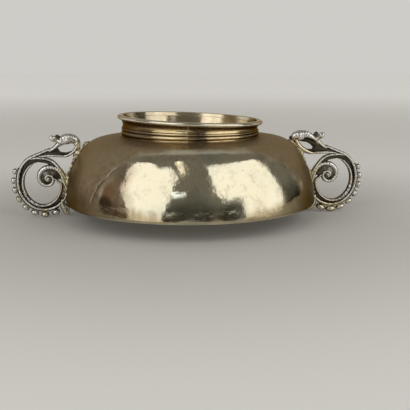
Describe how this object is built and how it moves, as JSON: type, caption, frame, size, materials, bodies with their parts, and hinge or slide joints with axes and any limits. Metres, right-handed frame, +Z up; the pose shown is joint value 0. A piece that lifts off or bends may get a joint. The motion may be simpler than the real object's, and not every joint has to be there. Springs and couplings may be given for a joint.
{
  "type": "silver wedding cup",
  "caption": "Low wide silver drinking bowl on a moulded foot ring, with openwork scroll handles that end in stylised heads, shown rim down.",
  "frame": {"origin": "on the bowl's axis, level with the lowest beads of the handles, with the cup rim down", "axes": "+X runs out along one handle, +Z is up from the rim to the foot, so that a cup in use has +Z down"},
  "size_m": [0.2, 0.14, 0.0572],
  "materials": {
    "silver_bowl": "hammered, worn, brown tarnish",
    "silver_foot": "polished mouldings, golden tarnish",
    "silver_handle": "cast, bright ridges, blackened hollows",
    "solder": "rough golden solder"
  },
  "bodies": {
    "root": {"bowl": "silver_bowl", "foot_band": "silver_foot", "foot_moulding": "silver_foot", "foot_rim_wire": "silver_foot", "foot_solder": "solder", "left_head": "silver_handle", "left_front_ear": "silver_handle", "left_back_ear": "silver_handle", "left_neck": "silver_handle", "left_outer_scroll": "silver_handle", "left_inner_ring": "silver_handle", "left_volute": "silver_handle", "left_top_strand": "silver_handle", "left_chin_strand": "silver_handle", "left_rim_leaf": "silver_handle", "left_bead_1": "silver_handle", "left_bead_2": "silver_handle", "left_bead_3": "silver_handle", "left_bead_4": "silver_handle", "left_bead_5": "silver_handle", "left_bead_6": "silver_handle", "left_bead_7": "silver_handle", "left_bead_8": "silver_handle", "left_solder_seam": "solder", "right_head": "silver_handle", "right_front_ear": "silver_handle", "right_back_ear": "silver_handle", "right_neck": "silver_handle", "right_outer_scroll": "silver_handle", "right_inner_ring": "silver_handle", "right_volute": "silver_handle", "right_top_strand": "silver_handle", "right_chin_strand": "silver_handle", "right_rim_leaf": "silver_handle", "right_bead_1": "silver_handle", "right_bead_2": "silver_handle", "right_bead_3": "silver_handle", "right_bead_4": "silver_handle", "right_bead_5": "silver_handle", "right_bead_6": "silver_handle", "right_bead_7": "silver_handle", "right_bead_8": "silver_handle", "right_solder_seam": "solder"}
  },
  "joints": []
}
